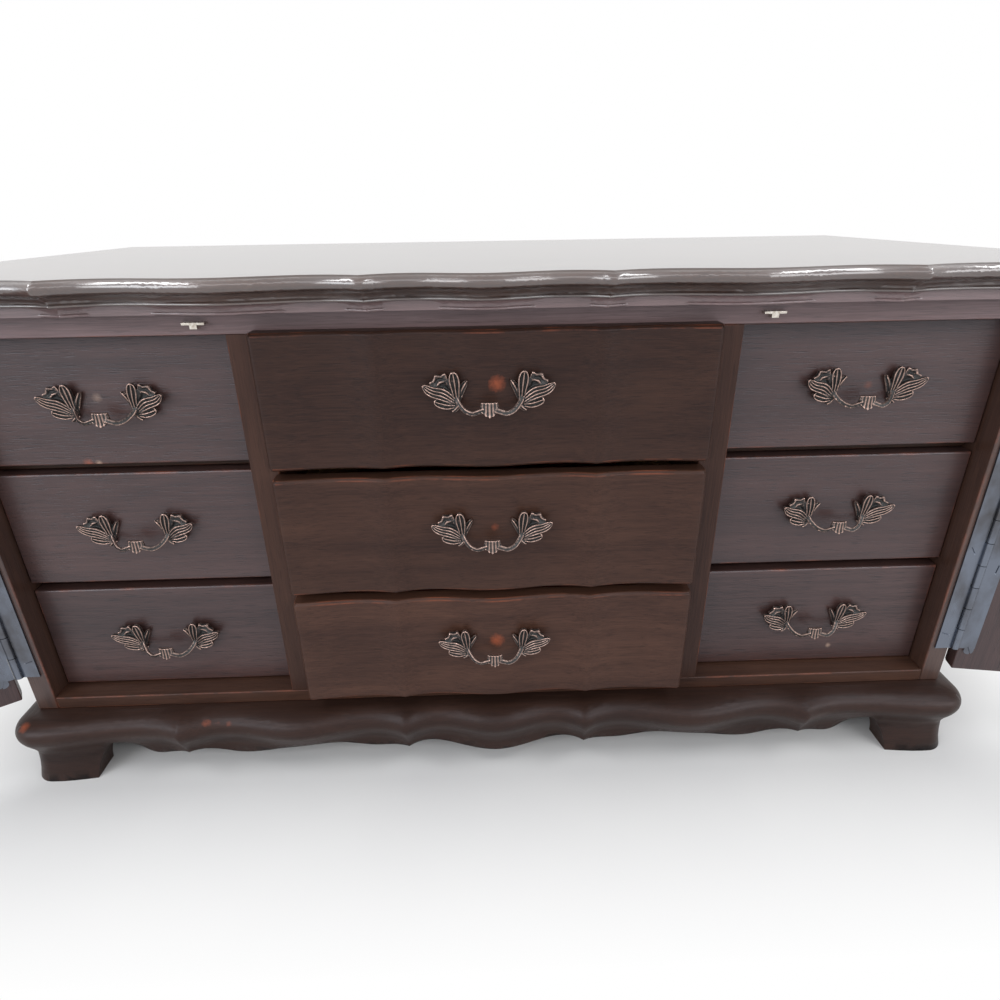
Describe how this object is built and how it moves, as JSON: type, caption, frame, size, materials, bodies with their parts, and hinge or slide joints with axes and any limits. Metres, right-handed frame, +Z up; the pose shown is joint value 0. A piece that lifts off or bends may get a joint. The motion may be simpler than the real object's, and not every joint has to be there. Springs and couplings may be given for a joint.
{
  "type": "jewelry chest",
  "caption": "Wooden jewelry chest with a serpentine front, inset side drawers behind hinged doors, cast pulls, a moulded top and a scrolled bracket-foot base.",
  "frame": {"origin": "on the table, midway between the case's two sides and midway between its face and its back", "axes": "+X to the viewer's right, +Y to the chest's back, +Z up; drawers open along -Y"},
  "size_m": [0.6578, 0.2704, 0.221],
  "materials": {
    "case_wood": "dark walnut stain under satin lacquer",
    "front_wood": "dark walnut stain under satin lacquer",
    "side_front_wood": "dark stain, open pored, satin",
    "inner_wood": "thin stained board",
    "drawer_wood": "plain light wood",
    "lining_velvet": "short-pile velvet",
    "hinge_steel": "nickelled steel",
    "pull_copper": "antiqued copper, dark in the recesses",
    "catch_brass": "bright brass"
  },
  "bodies": {
    "case": {"top_board": "case_wood", "top_moulding": "case_wood", "top_rail": "case_wood", "side_panel_left": "case_wood", "side_panel_right": "case_wood", "partition_left": "case_wood", "partition_right": "case_wood", "drawer_shelves": "inner_wood", "back_panel": "inner_wood", "floor_board": "case_wood", "base_front": "case_wood", "base_sides": "case_wood", "base_back": "case_wood", "case_hinge_left": "hinge_steel", "case_hinge_right": "hinge_steel", "catch_strikes": "catch_brass"},
    "drawer_top_left": {"drawer_front_top_left": "side_front_wood", "drawer_box_top_left": "drawer_wood", "drawer_lining_top_left": "lining_velvet", "drawer_pull_top_left": "pull_copper"},
    "drawer_top_centre": {"drawer_front_top_centre": "front_wood", "drawer_box_top_centre": "drawer_wood", "drawer_lining_top_centre": "lining_velvet", "drawer_pull_top_centre": "pull_copper"},
    "drawer_top_right": {"drawer_front_top_right": "side_front_wood", "drawer_box_top_right": "drawer_wood", "drawer_lining_top_right": "lining_velvet", "drawer_pull_top_right": "pull_copper"},
    "drawer_middle_left": {"drawer_front_middle_left": "side_front_wood", "drawer_box_middle_left": "drawer_wood", "drawer_lining_middle_left": "lining_velvet", "drawer_pull_middle_left": "pull_copper"},
    "drawer_middle_centre": {"drawer_front_middle_centre": "front_wood", "drawer_box_middle_centre": "drawer_wood", "drawer_lining_middle_centre": "lining_velvet", "drawer_pull_middle_centre": "pull_copper"},
    "drawer_middle_right": {"drawer_front_middle_right": "side_front_wood", "drawer_box_middle_right": "drawer_wood", "drawer_lining_middle_right": "lining_velvet", "drawer_pull_middle_right": "pull_copper"},
    "drawer_bottom_left": {"drawer_front_bottom_left": "side_front_wood", "drawer_box_bottom_left": "drawer_wood", "drawer_lining_bottom_left": "lining_velvet", "drawer_pull_bottom_left": "pull_copper"},
    "drawer_bottom_centre": {"drawer_front_bottom_centre": "front_wood", "drawer_box_bottom_centre": "drawer_wood", "drawer_lining_bottom_centre": "lining_velvet", "drawer_pull_bottom_centre": "pull_copper"},
    "drawer_bottom_right": {"drawer_front_bottom_right": "side_front_wood", "drawer_box_bottom_right": "drawer_wood", "drawer_lining_bottom_right": "lining_velvet", "drawer_pull_bottom_right": "pull_copper"},
    "door_left": {"door_panel_left": "front_wood", "door_hinge_left": "hinge_steel", "door_pull_left": "pull_copper"},
    "door_right": {"door_panel_right": "front_wood", "door_hinge_right": "hinge_steel", "door_pull_right": "pull_copper"}
  },
  "joints": [
    {"name": "drawer_top_left_slide", "type": "slide", "parent": "case", "child": "drawer_top_left", "axis": [0, -1, 0], "range_m": [0, 0.14]},
    {"name": "drawer_top_centre_slide", "type": "slide", "parent": "case", "child": "drawer_top_centre", "axis": [0, -1, 0], "range_m": [0, 0.14]},
    {"name": "drawer_top_right_slide", "type": "slide", "parent": "case", "child": "drawer_top_right", "axis": [0, -1, 0], "range_m": [0, 0.14]},
    {"name": "drawer_middle_left_slide", "type": "slide", "parent": "case", "child": "drawer_middle_left", "axis": [0, -1, 0], "range_m": [0, 0.14]},
    {"name": "drawer_middle_centre_slide", "type": "slide", "parent": "case", "child": "drawer_middle_centre", "axis": [0, -1, 0], "range_m": [0, 0.14]},
    {"name": "drawer_middle_right_slide", "type": "slide", "parent": "case", "child": "drawer_middle_right", "axis": [0, -1, 0], "range_m": [0, 0.14]},
    {"name": "drawer_bottom_left_slide", "type": "slide", "parent": "case", "child": "drawer_bottom_left", "axis": [0, -1, 0], "range_m": [0, 0.14]},
    {"name": "drawer_bottom_centre_slide", "type": "slide", "parent": "case", "child": "drawer_bottom_centre", "axis": [0, -1, 0], "range_m": [0, 0.14]},
    {"name": "drawer_bottom_right_slide", "type": "slide", "parent": "case", "child": "drawer_bottom_right", "axis": [0, -1, 0], "range_m": [0, 0.14]},
    {"name": "door_left_hinge", "type": "hinge", "parent": "case", "child": "door_left", "pos_m": [-0.2119, -0.10085, 0.1235], "axis": [0, 0, -1], "range_deg": [-146, 34]},
    {"name": "door_right_hinge", "type": "hinge", "parent": "case", "child": "door_right", "pos_m": [0.2119, -0.10085, 0.1235], "axis": [0, 0, 1], "range_deg": [-170, 10]}
  ]
}
